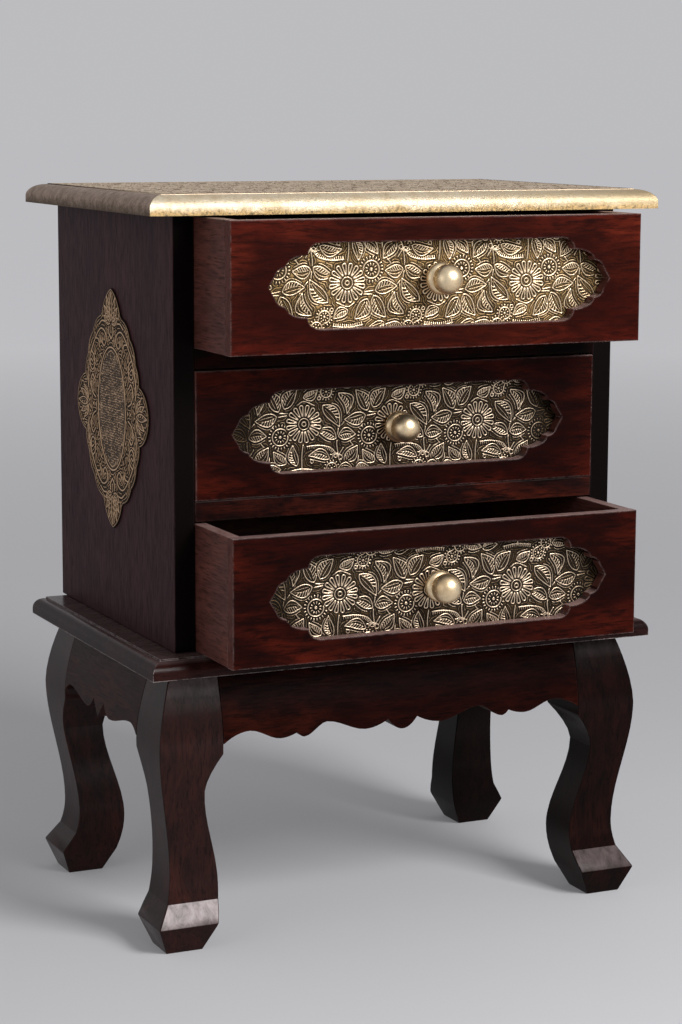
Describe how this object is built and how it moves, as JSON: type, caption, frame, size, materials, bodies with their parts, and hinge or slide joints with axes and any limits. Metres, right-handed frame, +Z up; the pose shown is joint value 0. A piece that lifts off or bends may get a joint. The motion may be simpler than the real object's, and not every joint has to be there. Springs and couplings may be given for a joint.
{
  "type": "nightstand",
  "caption": "Dark wooden nightstand with sliding drawers, pierced fronts over embossed brass plates, a brass-clad moulded top, side medallions and a scalloped stand.",
  "frame": {"origin": "middle of the footprint on the floor, with the drawers as pictured", "axes": "+Z up, -Y towards the front, +X to the right as seen from the front"},
  "size_m": [0.457, 0.3828, 0.6152],
  "materials": {
    "dark_wood": "dark stained, satin",
    "red_wood": "red-brown stained, satin",
    "plain_wood": "unpolished",
    "bright_brass": "polished, worn",
    "old_brass": "embossed, darkened in its hollows",
    "steel": "plain"
  },
  "bodies": {
    "cabinet": {"top_board": "dark_wood", "top_brass_sheet": "old_brass", "brass_edge_front": "bright_brass", "brass_edge_right": "bright_brass", "brass_edge_back": "bright_brass", "brass_edge_left": "bright_brass", "left_side_panel": "dark_wood", "right_side_panel": "dark_wood", "back_panel": "plain_wood", "lower_rail": "dark_wood", "upper_rail": "dark_wood", "lower_left_runner": "plain_wood", "lower_right_runner": "plain_wood", "upper_left_runner": "plain_wood", "upper_right_runner": "plain_wood", "base_board": "dark_wood", "left_medallion": "old_brass", "right_medallion": "old_brass", "front_left_leg": "dark_wood", "front_right_leg": "dark_wood", "back_left_leg": "dark_wood", "back_right_leg": "dark_wood", "front_apron": "dark_wood", "right_apron": "dark_wood", "back_apron": "dark_wood", "left_apron": "dark_wood"},
    "top_drawer": {"top_drawer_front": "red_wood", "top_drawer_plate": "old_brass", "top_drawer_backing": "plain_wood", "top_drawer_left_side": "red_wood", "top_drawer_right_side": "red_wood", "top_drawer_back": "plain_wood", "top_drawer_floor": "plain_wood", "top_drawer_knob": "bright_brass", "top_drawer_knob_screw": "steel"},
    "middle_drawer": {"middle_drawer_front": "red_wood", "middle_drawer_plate": "old_brass", "middle_drawer_backing": "plain_wood", "middle_drawer_left_side": "red_wood", "middle_drawer_right_side": "red_wood", "middle_drawer_back": "plain_wood", "middle_drawer_floor": "plain_wood", "middle_drawer_knob": "bright_brass", "middle_drawer_knob_screw": "steel"},
    "bottom_drawer": {"bottom_drawer_front": "red_wood", "bottom_drawer_plate": "old_brass", "bottom_drawer_backing": "plain_wood", "bottom_drawer_left_side": "red_wood", "bottom_drawer_right_side": "red_wood", "bottom_drawer_back": "plain_wood", "bottom_drawer_floor": "plain_wood", "bottom_drawer_knob": "bright_brass", "bottom_drawer_knob_screw": "steel"}
  },
  "joints": [
    {"name": "top_drawer_slide", "type": "slide", "parent": "cabinet", "child": "top_drawer", "axis": [0, -1, 0], "range_m": [-0.075, 0.115]},
    {"name": "middle_drawer_slide", "type": "slide", "parent": "cabinet", "child": "middle_drawer", "axis": [0, -1, 0], "range_m": [-0.0013, 0.1887]},
    {"name": "bottom_drawer_slide", "type": "slide", "parent": "cabinet", "child": "bottom_drawer", "axis": [0, -1, 0], "range_m": [-0.078, 0.112]}
  ]
}
